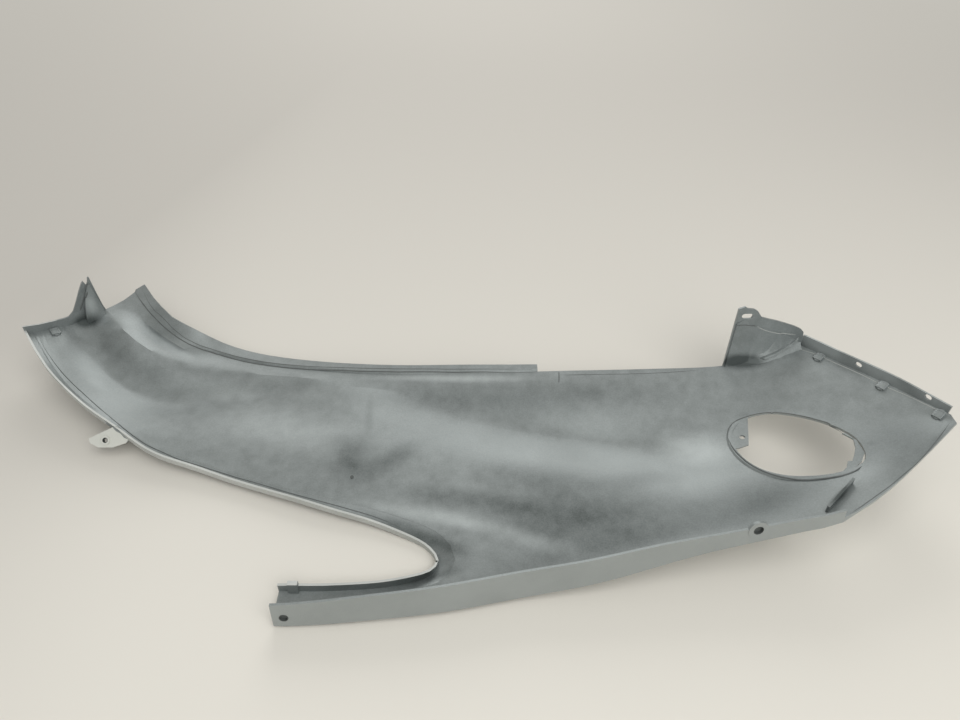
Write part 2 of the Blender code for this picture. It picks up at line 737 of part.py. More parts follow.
def flap_fillet(path, heights, collection):
    """Return the fillet that fills the flap's root, growing from nothing at its front."""
    keyed, whole = along(path)
    curve = spline(keyed)
    sections = []
    reach = whole - FLAP_FILLET_SHORT_OF_END - FLAP_FILLET_FROM
    for i in range(FLAP_FILLET_STEPS + 1):
        distance = FLAP_FILLET_FROM + reach * i / FLAP_FILLET_STEPS
        size = FLAP_FILLET * min(FLAP_FILLET_START + i / 3, 1.0)
        x, y = curve(distance)
        run = direction(curve, distance)
        inward = Vector((run.y, -run.x, 0.0))
        foot = Vector((x, y, heights.at(x, y)))
        toe = foot + inward * size
        toe.z = heights.at(toe.x, toe.y) - SINK * 2
        hollow = foot + (inward * FLAP_FILLET_HOLLOW[0] + UP * FLAP_FILLET_HOLLOW[1]) * size
        sections.append((foot - UP * WALL / 2, foot + UP * size, hollow, toe))
    return lofted("flap_fillet", sections, collection)


def material():
    """Return silver-grey paint over ABS, as its inner face shows it."""
    paint = bpy.data.materials.new("silver_grey_paint")
    paint.use_nodes = True
    shader = paint.node_tree.nodes["Principled BSDF"]
    shader.inputs["Base Color"].default_value = (0.30, 0.32, 0.31, 1.0)
    shader.inputs["Metallic"].default_value = 0.15
    shader.inputs["Roughness"].default_value = 0.5
    return paint


def build():
    """Build the panel."""
    for old in list(bpy.data.objects):
        bpy.data.objects.remove(old)
    parts = bpy.data.collections.new("scooter_side_panel")
    guides = bpy.data.collections.new("guides")
    bpy.context.scene.collection.children.link(parts)
    bpy.context.scene.collection.children.link(guides)

    points, quads, columns = inner_face()
    heights = Heights(points, quads, columns)
    panel = build_sheet(points, quads, parts)

    edge = cut_out_path()
    hole = opening_stations()
    hole_plan = [tuple(point + outward * POCKET_CREST) for point, outward, _ in hole]
    cuts = [
        cut_out_block(edge, guides),
        prism("opening_block", hole_plan, CUT_FROM_Z, CUT_TO_Z, guides),
    ]

    front_edge = [points[0][:2] for points in reversed(LONG_LINES[:-1])]
    flap_path = plan_path(SEAT_EDGE, FLAP_FROM_X, TAIL_FROM_X, FLAP_PATH_STEPS)
    tail_path = plan_path(SEAT_EDGE, TAIL_FROM_X - FLANGE_OVERLAP, NOSE_X, TAIL_PATH_STEPS)
    leaf_path = inset(front_edge, EAR_LEAF_INSET)
    face_path = inset(flap_path, FLAP_FACE_INSET)
    edge_root = WALL - SINK
    leaf_root = WALL / 2
    rear_frame = sill_frame(REAR_SILL_HOLE, WALL / 2)
    plate, ring, screw = screw_tab(guides)
    joins = [
        opening_rim(hole, heights, guides),
        flat_plate("opening_tab", OPENING_TAB, heights, guides),
        flat_plate("opening_web", OPENING_WEB, heights, guides),
        upstand("front_flange", front_edge, FRONT_FLANGE, edge_root, heights, guides),
        upstand("ear_leaf", leaf_path, EAR_LEAF, leaf_root, heights, guides),
        upstand("flap", flap_path, FLAP, edge_root, heights, guides),
        upstand("flap_face", face_path, FLAP_FACE, leaf_root, heights, guides),
        upstand("tail_flange", tail_path, TAIL_FLANGE, edge_root, heights, guides),
        flap_fillet(flap_path, heights, guides),
        rib(heights, guides),
        rim(edge, heights, guides),
        lower_clip(heights, guides),
        cylinder("sill_disc", rear_frame, SILL_DISC_RADIUS, SILL_DISC_WALL, guides),
        plate,
        ring,
    ]
    front_frame = sill_frame(FRONT_SILL_HOLE, WALL / 2)
    flap_frame = side_frame(flap_path, *FLAP_SLOT_AT, heights)
    tab_at = Vector((*OPENING_TAB_HOLE, heights.at(*OPENING_TAB_HOLE)))
    notch_at = Vector((*RELIEF_NOTCH_AT, heights.at(*RELIEF_NOTCH_AT)))
    across = Vector((1.0, 0.0, 0.0))
    drills = [
        screw,
        cylinder("front_sill_hole", front_frame, FRONT_SILL_HOLE[2], BORE_DEPTH, guides),
        cylinder("rear_sill_hole", rear_frame, REAR_SILL_HOLE[2], BORE_DEPTH, guides),
        cylinder("opening_tab_hole", placed_frame(tab_at, across, UP), OPENING_TAB_HOLE_RADIUS,
                 BORE_DEPTH, guides),
        slot("flap_slot", flap_frame, FLAP_SLOT, BORE_DEPTH * 2, guides),
        box("relief_notch", placed_frame(notch_at, across, UP), (*RELIEF_NOTCH, BORE_DEPTH), guides),
    ]
    for number, distance in enumerate(TAIL_HOLES_AT, start=1):
        frame = side_frame(tail_path, distance, TAIL_HOLE_HEIGHT, heights)
        drills.append(slot(f"tail_hole_{number}", frame, TAIL_HOLE, BORE_DEPTH, guides))
    clips = [("tail", tail_path, distance) for distance in TAIL_CLIPS_AT]
    clips += [("front", front_edge, distance) for distance in FRONT_CLIPS_AT]
    for number, (place, path, distance) in enumerate(clips, start=1):
        tongue, gap = clip(f"{place}_clip_{number}", path, distance, heights, guides)
        joins.append(tongue)
        drills.append(gap)

    for tool in cuts:
        combine(panel, tool, "DIFFERENCE")
    for tool in joins:
        combine(panel, tool, "UNION")
    for tool in drills:
        combine(panel, tool, "DIFFERENCE")
    panel.data.materials.append(material())


build()
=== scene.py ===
"""Dress the scooter side panel and light it in a plain studio.

The panel is one moulded ABS shell that lies on its outer face. The outer side has silver
paint. The inner side, which the camera sees, is grey plastic under dry, uneven overspray.
"""

import logging
import math
from collections.abc import Callable
from dataclasses import dataclass
from enum import IntEnum
from typing import Any

import bmesh
import bpy
import numpy as np
from bpy.types import Material, Mesh, Node, NodeSocket, NodeTree, Object
from mathutils import Matrix, Vector
from mathutils.bvhtree import BVHTree

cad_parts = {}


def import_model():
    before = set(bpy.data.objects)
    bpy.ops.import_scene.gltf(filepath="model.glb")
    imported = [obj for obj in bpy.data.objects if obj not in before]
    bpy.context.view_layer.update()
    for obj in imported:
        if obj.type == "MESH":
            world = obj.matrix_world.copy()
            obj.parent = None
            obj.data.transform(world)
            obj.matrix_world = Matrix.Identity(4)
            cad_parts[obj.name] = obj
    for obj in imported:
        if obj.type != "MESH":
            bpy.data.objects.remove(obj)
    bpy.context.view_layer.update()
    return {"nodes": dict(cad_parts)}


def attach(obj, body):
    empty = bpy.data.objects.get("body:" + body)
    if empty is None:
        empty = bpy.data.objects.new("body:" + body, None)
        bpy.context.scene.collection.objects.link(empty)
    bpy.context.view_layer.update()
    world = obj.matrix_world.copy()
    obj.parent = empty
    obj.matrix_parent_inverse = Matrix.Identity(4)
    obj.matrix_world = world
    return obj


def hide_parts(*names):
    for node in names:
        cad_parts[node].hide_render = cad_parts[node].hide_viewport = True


LOG = logging.getLogger("side_panel")
Triple = tuple[float, float, float]
UP = Vector((0.0, 0.0, 1.0))
PANEL_NODE = "side_panel"
PANEL_BODY = "root"
# Small pieces shade smoothly over edges that bend less than this
SMOOTH_BELOW = math.radians(35.0)
# Nearly all of a noise pattern's values lie between these
NOISE_LOW = 0.3
NOISE_HIGH = 0.7


class Side(IntEnum):
    """Which finish a face of the shell takes, by its number in the material slots."""

    INNER = 0
    OUTER = 1
    EDGE = 2
    TAB = 3


def linear(hex_colour: str) -> tuple[float, float, float, float]:
    """Turn an sRGB colour into the linear values that a shader takes.

    Args:
        hex_colour: Six hex digits after a hash sign.

    Returns:
        Red, green, blue and an alpha of 1.
    """
    channels = []
    for start in (1, 3, 5):
        value = int(hex_colour[start : start + 2], 16) / 255
        # The sRGB standard's curve is straight near black and a power above that
        channels.append(value / 12.92 if value <= 0.04045 else ((value + 0.055) / 1.055) ** 2.4)
    return (*channels, 1.0)


def add_node(
    tree: NodeTree,
    kind: str,
    settings: dict[str, Any] | None = None,
    values: dict[int | str, Any] | None = None,
    links: dict[int | str, NodeSocket] | None = None,
) -> Node:
    """Add a node with its settings, its input values and its links.

    Args:
        tree: The node tree that takes the node.
        kind: The node's type name.
        settings: Properties of the node and their values.
        values: Input names or numbers and their values.
        links: Input names or numbers and the outputs that feed them.

    Returns:
        The new node.
    """
    node = tree.nodes.new(kind)
    for name, value in (settings or {}).items():
        setattr(node, name, value)
    for name, value in (values or {}).items():
        node.inputs[name].default_value = value
    for name, output in (links or {}).items():
        tree.links.new(output, node.inputs[name])
    return node


def new_material(name: str) -> tuple[Material, NodeTree, Node, NodeSocket]:
    """Make a material whose patterns read Object coordinates.

    Args:
        name: The name of the substance.

    Returns:
        The material, its node tree, its shader and the coordinates.
    """
    material = bpy.data.materials.new(name)
    material.use_nodes = True
    tree = material.node_tree
    place = add_node(tree, "ShaderNodeTexCoord").outputs["Object"]
    return material, tree, tree.nodes["Principled BSDF"], place


def noise_to(low: float, high: float) -> dict[str, float]:
    """Return the values with which a map range node spreads noise from low to high."""
    return {"From Min": NOISE_LOW, "From Max": NOISE_HIGH, "To Min": low, "To Max": high}


def make_active(piece: Object) -> None:
    """Select one object alone and make it the active one.

    Args:
        piece: The object.
    """
    for other in bpy.context.selected_objects:
        other.select_set(False)
    bpy.context.view_layer.objects.active = piece
    piece.select_set(True)


def select_faces(piece: Object, wanted: Callable[[bmesh.types.BMFace], bool]) -> None:
    """Go into edit mode with only some faces of a piece selected.

    Args:
        piece: The active object.
        wanted: Tells whether a face is to be selected.
    """
    bpy.ops.object.mode_set(mode="EDIT")
    bpy.ops.mesh.select_all(action="DESELECT")
    edit = bmesh.from_edit_mesh(piece.data)
    for face in edit.faces:
        if wanted(face):
            face.select_set(True)
    bmesh.update_edit_mesh(piece.data)


@dataclass(frozen=True)
class Grain:
    """An uneven pattern: the size of its spots in metres, its detail and its roughness."""

    size: float
    detail: float
    roughness: float

    def inputs(self) -> dict[str, float]:
        """Return the values that a noise node takes."""
        return {"Scale": 1 / self.size, "Detail": self.detail, "Roughness": self.roughness}


@dataclass(frozen=True)
class Patch:
    """A soft-edged place made paler or darker: painted light and shade, spray that fell thicker or
    thinner, and stains.

    Sizes are in metres in the panel's own frame. A strength above 0 is paler.
    """

    centre: Triple
    reach: Triple
    turn: float
    strength: float


@dataclass(frozen=True)
class OversprayAndPaintedLight:
    """Dry silver overspray on injection-moulded ABS, a soft, cloudy grey with little shine, with painted
    light and shade in soft patches.
    """

    name: str = "abs_with_dry_silver_overspray_and_painted_light"
    dark_spray_and_shade: str = "#4d5352"
    pale_spray_and_light: str = "#a5abaa"
    # Clouds: the spray gun's passes drift over the inside in soft patches a hand wide
    cloud: Grain = Grain(0.11, 3.0, 0.55)
    cloud_low: float = 0.44
    cloud_high: float = 0.56
    # Mottle: droplets that dried before they met, in spots of a finger's width
    mottle: Grain = Grain(0.016, 5.0, 0.62)
    mottle_share: float = 0.42
    # Speckle: metal flake is 0.05 mm across, and is drawn at about 1.6 mm so that it shows
    speckle: Grain = Grain(0.0016, 2.0, 0.6)
    speckle_share: float = 0.3
    # Taken off the sum of the three, so that plain spray lies midway from thin to thick
    surplus: float = 0.36
    metallic: float = 0.45
    roughness: float = 0.44
    smoother: float = 0.05
    rougher: float = 0.08
    bump_strength: float = 0.10
    bump_height: float = 0.0004
    # Soft patches of painted light and shade, and a few stains
    patches: tuple[Patch, ...] = ()

    def patch_sum(self, tree: NodeTree, place: NodeSocket, start: NodeSocket) -> NodeSocket:
        """Add the patches of painted light and shade, and of stains, to a running value.

        Args:
            tree: The material's node tree.
            place: Object coordinates.
            start: The value that the patches are added to.

        Returns:
            The sum.
        """
        total = start
        for patch in self.patches:
            local = add_node(
                tree,
                "ShaderNodeMapping",
                {"vector_type": "TEXTURE"},
                {"Location": patch.centre, "Rotation": (0, 0, patch.turn), "Scale": patch.reach},
                {"Vector": place},
            )
            far = add_node(
                tree, "ShaderNodeVectorMath", {"operation": "LENGTH"}, links={0: local.outputs[0]}
            )
            fade = add_node(
                tree,
                "ShaderNodeMapRange",
                {"interpolation_type": "SMOOTHSTEP"},
                {"From Min": 0.0, "From Max": 1.0, "To Min": patch.strength, "To Max": 0.0},
                {"Value": far.outputs["Value"]},
            )
            total = add_node(
                tree, "ShaderNodeMath", {"operation": "ADD"}, links={0: total, 1: fade.outputs[0]}
            ).outputs[0]
        return total

    def build(self) -> Material:
        """Build the material.

        Returns:
            The material.
        """
        material, tree, shader, place = new_material(self.name)
        cloud, mottle, speckle = (
            add_node(
                tree, "ShaderNodeTexNoise", values=grain.inputs(), links={"Vector": place}
            ).outputs["Fac"]
            for grain in (self.cloud, self.mottle, self.speckle)
        )
        amount = add_node(
            tree,
            "ShaderNodeMapRange",
            values=noise_to(self.cloud_low, self.cloud_high),
            links={"Value": cloud},
        ).outputs["Result"]
        for share, pattern in ((self.mottle_share, mottle), (self.speckle_share, speckle)):
            amount = add_node(
                tree, "ShaderNodeMath", {"operation": "MULTIPLY_ADD"}, {1: share}, {0: pattern, 2: amount}
            ).outputs[0]
        centred = add_node(
            tree, "ShaderNodeMath", {"operation": "SUBTRACT"}, {1: self.surplus}, {0: amount}
        )
        colour = add_node(
            tree,
            "ShaderNodeMix",
            {"data_type": "RGBA", "clamp_factor": True},
            {6: linear(self.dark_spray_and_shade), 7: linear(self.pale_spray_and_light)},
            {0: self.patch_sum(tree, place, centred.outputs[0])},
        )
        tree.links.new(colour.outputs[2], shader.inputs["Base Color"])
        rough = add_node(
            tree,
            "ShaderNodeMapRange",
            values=noise_to(self.roughness - self.smoother, self.roughness + self.rougher),
            links={"Value": mottle},
        )
        tree.links.new(rough.outputs["Result"], shader.inputs["Roughness"])
        bump = add_node(
            tree,
            "ShaderNodeBump",
            values={"Strength": self.bump_strength, "Distance": self.bump_height},
            links={"Height": speckle},
        )
        tree.links.new(bump.outputs["Normal"], shader.inputs["Normal"])
        shader.inputs["Metallic"].default_value = self.metallic
        return material


@dataclass(frozen=True)
class SilverPaint:
    """Silver basecoat, with clear lacquer where it isn't rubbed off: even, satin to glossy. A paler copy
    paints the highlight on the rims and on the light moulded lines.
    """

    name: str
    colour: str
    shade: str
    roughness: float
    metallic: float
    coat: float
    coat_roughness: float = 0.18
    smoother: float = 0.04
    rougher: float = 0.06
    # Flake: real flakes are 0.05 mm across, and are drawn at about 1 mm so that they show
    flake: Grain = Grain(0.0012, 2.0, 0.6)
    flake_share: float = 0.3
    # Haze: a faint unevenness of handling and dust, in patches of some 60 mm
    haze: Grain = Grain(0.0625, 4.0, 0.6)
    # The mixed patterns give the shade at the first value and the colour at the second
    mixed_low: float = 0.35
    mixed_high: float = 0.95

    def build(self) -> Material:
        """Build the material.

        Returns:
            The material.
        """
        material, tree, shader, place = new_material(self.name)
        flake, haze = (
            add_node(
                tree, "ShaderNodeTexNoise", values=grain.inputs(), links={"Vector": place}
            ).outputs["Fac"]
            for grain in (self.flake, self.haze)
        )
        mixed = add_node(
            tree,
            "ShaderNodeMath",
            {"operation": "MULTIPLY_ADD"},
            {1: self.flake_share},
            {0: flake, 2: haze},
        )
        factor = add_node(
            tree,
            "ShaderNodeMapRange",
            values={"From Min": self.mixed_low, "From Max": self.mixed_high},
            links={"Value": mixed.outputs[0]},
        )
        colour = add_node(
            tree,
            "ShaderNodeMix",
            {"data_type": "RGBA"},
            {6: linear(self.shade), 7: linear(self.colour)},
            {0: factor.outputs["Result"]},
        )
        tree.links.new(colour.outputs[2], shader.inputs["Base Color"])
        rough = add_node(
            tree,
            "ShaderNodeMapRange",
            values=noise_to(self.roughness - self.smoother, self.roughness + self.rougher),
            links={"Value": haze},
        )
        tree.links.new(rough.outputs["Result"], shader.inputs["Roughness"])
        shader.inputs["Metallic"].default_value = self.metallic
        shader.inputs["Coat Weight"].default_value = self.coat
        shader.inputs["Coat Roughness"].default_value = self.coat_roughness
        return material


@dataclass(frozen=True)
class ShadedPlastic:
    """Dark, dull grey ABS: painted shade in the moulded steps, the clip slots and the screw bores, and the
    gate stub's own dark plastic.
    """

    name: str = "dark_abs_and_painted_shade"
    darker_tone: str = "#3e413f"
    paler_tone: str = "#5b5f5c"
    # The tone varies at random in spots of about 6 mm along the steps
    tone_blotches: Grain = Grain(0.00625, 3.0, 0.6)
    roughness: float = 0.7

    def build(self) -> Material:
        """Build the material.

        Returns:
            The material.
        """
        material, tree, shader, place = new_material(self.name)
        tone_blotches = add_node(tree, "ShaderNodeTexNoise", values=self.tone_blotches.inputs(), links={"Vector": place})
        colour = add_node(
            tree,
            "ShaderNodeMix",
            {"data_type": "RGBA"},
            {6: linear(self.darker_tone), 7: linear(self.paler_tone)},
            {0: tone_blotches.outputs["Fac"]},
        )
        tree.links.new(colour.outputs[2], shader.inputs["Base Color"])
        shader.inputs["Roughness"].default_value = self.roughness
        return material


@dataclass
class PanelShell:
    """The moulded shell: a welded, evenly shaded copy of the fixed model in its finishes.

    The fixed model has flat facets. Its shading here follows the form under them, so that
    only the real creases show.
    """

    weld: float = 0.00001
    longest_edge: float = 0.007
    cut_rounds: int = 4
    # Faces that bend less than these angles share their shading
    even_rounds: int = 14
    crease: float = math.radians(34.0)
    corner_crease: float = math.radians(24.0)
    shortest_sum: float = 1e-12
    # The upward part of a face's direction: less than the first is outer, more than the second a top
    down_facing: float = -0.15
    up_facing: float = 0.6
    # A wall is outer if no shell lies this far beside it, seen from this height
    plan_probe: float = 0.014
    probe_height: float = 0.3
    # A top with no shell within this depth is the end of an upright wall
    wall_limit: float = 0.0042
    start_depth: float = 0.0003
    # The arm's and the cut-out's rims have a pale top, a painted highlight with rubbed paint, and lie
    # within these limits
    rims_end: float = 0.05
    rims_high: float = 0.08
    tip_from: float = -0.43
    tip_slope: float = 0.9
    # The sill's fold runs along this line and is no rim
    sill_start: tuple[float, float] = (-0.158, -0.2177)
    sill_slope: float = 0.1594
    sill_reach: float = 0.009
    tab_centre: Triple = (-0.3876, -0.0138, 0.0218)
    tab_reach: float = 0.023
    tab_line: Triple = (-0.3841, -0.0056, -0.62)

    def merged_copy(self, node: Object) -> Object:
        """Copy the node's mesh, weld its loose triangles and cut its long edges.

        Args:
            node: The fixed model's object.

        Returns:
            The new object.
        """
        shell = bpy.data.objects.new("panel_shell", node.data.copy())
        bpy.context.scene.collection.objects.link(shell)
        make_active(shell)
        bpy.ops.object.mode_set(mode="EDIT")
        bpy.ops.mesh.select_all(action="SELECT")
        bpy.ops.mesh.remove_doubles(threshold=self.weld)
        bpy.ops.mesh.select_mode(type="EDGE")
        for _ in range(self.cut_rounds):
            edit = bmesh.from_edit_mesh(shell.data)
            for edge in edit.edges:
                edge.select_set(edge.calc_length() > self.longest_edge)
            bmesh.update_edit_mesh(shell.data)
            bpy.ops.mesh.subdivide(number_cuts=1)
            bpy.ops.mesh.select_all(action="SELECT")
            # The short diagonal never folds a slim face flat, so the shell stays closed
            bpy.ops.mesh.quads_convert_to_tris(quad_method="SHORTEST_DIAGONAL")
            bpy.ops.mesh.select_all(action="DESELECT")
        bpy.ops.object.mode_set(mode="OBJECT")
        return shell

    def faces_round(self, corners_of: np.ndarray, points: int) -> list[list[int]]:
        """List the faces that meet at each vertex.

        Args:
            corners_of: The three vertices of each face.
            points: The number of vertices.

        Returns:
            The faces, for each vertex in turn.
        """
        faces_at: list[list[int]] = [[] for _ in range(points)]
        for face, triple in enumerate(corners_of):
            for vertex in triple:
                faces_at[vertex].append(face)
        return faces_at

    def neighbours(
        self, corners_of: np.ndarray, faces_at: list[list[int]]
    ) -> tuple[np.ndarray, np.ndarray]:
        """Pair each face with every face that shares a corner with it, and with itself.

        Args:
            corners_of: The three vertices of each face.
            faces_at: The faces that meet at each vertex.

        Returns:
            The first and the second face of each pair.
        """
        first, second = [], []
        for face, triple in enumerate(corners_of):
            near = {other for vertex in triple for other in faces_at[vertex]}
            first.extend([face] * len(near))
            second.extend(near)
        return np.array(first), np.array(second)

    def even_normals(self, mesh: Mesh) -> np.ndarray:
        """Give the mesh normals that flow over its facets and break only at real creases.

        Args:
            mesh: A mesh of triangles.

        Returns:
            The evened direction of each face.
        """
        count = len(mesh.polygons)
        corners_of = np.empty(count * 3, dtype=np.int64)
        mesh.loops.foreach_get("vertex_index", corners_of)
        corners_of = corners_of.reshape(count, 3)
        normals = np.empty(count * 3)
        mesh.polygons.foreach_get("normal", normals)
        normals = normals.reshape(count, 3)
        areas = np.empty(count)
        mesh.polygons.foreach_get("area", areas)
        faces_at = self.faces_round(corners_of, len(mesh.vertices))
        first, second = self.neighbours(corners_of, faces_at)
        limit = math.cos(self.crease)
        for _ in range(self.even_rounds):
            alike = np.einsum("ij,ij->i", normals[first], normals[second])
            weight = areas[second] * np.clip((alike - limit) / (1 - limit), 0, 1)
            sums = np.empty_like(normals)
            for axis in range(3):
                flow = weight * normals[second, axis]
                sums[:, axis] = np.bincount(first, weights=flow, minlength=count)
            lengths = np.maximum(np.linalg.norm(sums, axis=1), self.shortest_sum)
            normals = sums / lengths[:, None]
        self.set_corners(mesh, corners_of, faces_at, normals, areas)
        return normals

    def set_corners(
        self,
        mesh: Mesh,
        corners_of: np.ndarray,
        faces_at: list[list[int]],
        normals: np.ndarray,
        areas: np.ndarray,
    ) -> None:
        """Shade each face's corners by the faces round them that point nearly the same way.

        Args:
            mesh: The mesh that takes the normals.
            corners_of: The three vertices of each face.
            faces_at: The faces that meet at each vertex.
            normals: The evened direction of each face.
            areas: The area of each face.
        """
        limit = math.cos(self.corner_crease)
        shaded = []
        for face, triple in enumerate(corners_of):
            own = normals[face]
            for vertex in triple:
                near = faces_at[vertex]
                alike = normals[near] @ own > limit
                total = (normals[near] * (areas[near] * alike)[:, None]).sum(axis=0)
                length = float(np.linalg.norm(total))
                shaded.append(tuple(total / length) if length > 0 else tuple(own))
        mesh.polygons.foreach_set("use_smooth", [True] * len(mesh.polygons))
        mesh.normals_split_custom_set(shaded)

    def side_of(self, centre: Vector, normal: Vector, tree: BVHTree) -> Side:
        """Tell which finish a face takes.

        Args:
            centre: The face's middle.
            normal: Its outward direction.
            tree: The shell's faces, for looking at what is near.

        Returns:
            The side of the shell that the face belongs to.
        """
        if self.on_tab(centre):
            return Side.TAB
        if normal.z < self.down_facing:
            return Side.OUTER
        if normal.z > self.up_facing and not self.near_rim(centre):
            return Side.INNER
        if normal.z > self.up_facing:
            start = centre - UP * self.start_depth
            below = tree.ray_cast(start, -UP)[0]
            deep = below is not None and (centre.z - below.z) * normal.z > self.wall_limit
            return Side.EDGE if deep else Side.INNER
        aside = Vector((normal.x, normal.y, 0.0)).normalized()
        probe = centre + aside * self.plan_probe
        probe.z = self.probe_height
        if tree.ray_cast(probe, -UP)[0]:
            return Side.INNER
        return Side.EDGE if self.near_rim(centre) else Side.OUTER

    def on_tab(self, centre: Vector) -> bool:
        """Tell whether a place is on the screw tab that stands out from the arm's rim.

        Args:
            centre: The place.

        Returns:
            Whether it is on the tab.
        """
        start_x, start_y, slope = self.tab_line
        outside = centre.y < start_y + slope * (centre.x - start_x)
        return outside and (centre - Vector(self.tab_centre)).length < self.tab_reach

    def near_rim(self, centre: Vector) -> bool:
        """Tell whether a place is near the arm's or the cut-out's rim, away from the sill.

        Args:
            centre: The place.

        Returns:
            Whether it is near a rim.
        """
        start_x, start_y = self.sill_start
        fold = start_y + self.sill_slope * (centre.x - start_x) + self.sill_reach
        top = self.rims_high + max(0.0, self.tip_from - centre.x) * self.tip_slope
        return centre.x < self.rims_end and fold < centre.y < top

    def dress(self, shell: Object, normals: np.ndarray, finishes: dict[Side, Material]) -> None:
        """Give each face of the shell its finish.

        Args:
            shell: The welded copy.
            normals: The evened direction of each face.
            finishes: A material for each side.
        """
        mesh = shell.data
        mesh.materials.clear()
        for side in Side:
            mesh.materials.append(finishes[side])
        look = bmesh.new()
        look.from_mesh(mesh)
        tree = BVHTree.FromBMesh(look)
        sides = [
            int(self.side_of(face.calc_center_median(), Vector(normals[face.index]), tree))
            for face in look.faces
        ]
        look.free()
        mesh.polygons.foreach_set("material_index", sides)
        mesh.update()

    def build(self, node: Object, finishes: dict[Side, Material]) -> Object:
        """Build the dressed shell and let it stand for the fixed model.

        Args:
            node: The fixed model's object.
            finishes: A material for each side.

        Returns:
            The shell.
        """
        shell = self.merged_copy(node)
        normals = self.even_normals(shell.data)
        self.dress(shell, normals, finishes)
        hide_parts(PANEL_NODE)
        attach(shell, PANEL_BODY)
        return shell


class Surface:
    """The shell's faces, for laying small pieces on them."""

    def __init__(self, shell: Object) -> None:
        """Keep the faces of the shell.

        Args:
            shell: The dressed shell.
        """
        look = bmesh.new()
        look.from_mesh(shell.data)
        self.tree = BVHTree.FromBMesh(look)
        look.free()

    def drop(self, point: Vector, towards: Vector, lift: float = 0.012) -> Vector:
        """Move a point along a direction until it lies on the shell.

        Args:
            point: A place near the surface.
            towards: The direction into the surface.
            lift: How far the point is drawn back first.

        Returns:
            The place on the shell, or the point itself where nothing is met.
        """
        hit = self.tree.ray_cast(point - towards * lift, towards, lift * 2)[0]
        return hit if hit is not None else point


def finish_piece(piece: Object, material: Material) -> None:
    """Put a small piece at the origin, give it its finish and let it ride with the panel.

    Args:
        piece: The finished mesh object.
        material: Its finish.
    """
    make_active(piece)
    bpy.ops.object.transform_apply(location=True, rotation=True, scale=True)
    bpy.ops.object.shade_smooth_by_angle(angle=SMOOTH_BELOW)
    piece.data.materials.clear()
    piece.data.materials.append(material)
    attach(piece, PANEL_BODY)


class Tone(IntEnum):
    """How a moulded line looks: SHADE paints the shade of a step, LIGHT paints a highlight, SPRAY takes
    the sheet's own spray.
    """

    SHADE = 0
    LIGHT = 1
    SPRAY = 2


@dataclass(frozen=True)
class Line:
    """A fine moulded line: its radius, the places it passes and the way it is pressed on."""

    name: str
    radius: float
    points: tuple[Triple, ...]
    tone: Tone = Tone.SHADE
    towards: Triple = (0.0, 0.0, -1.0)


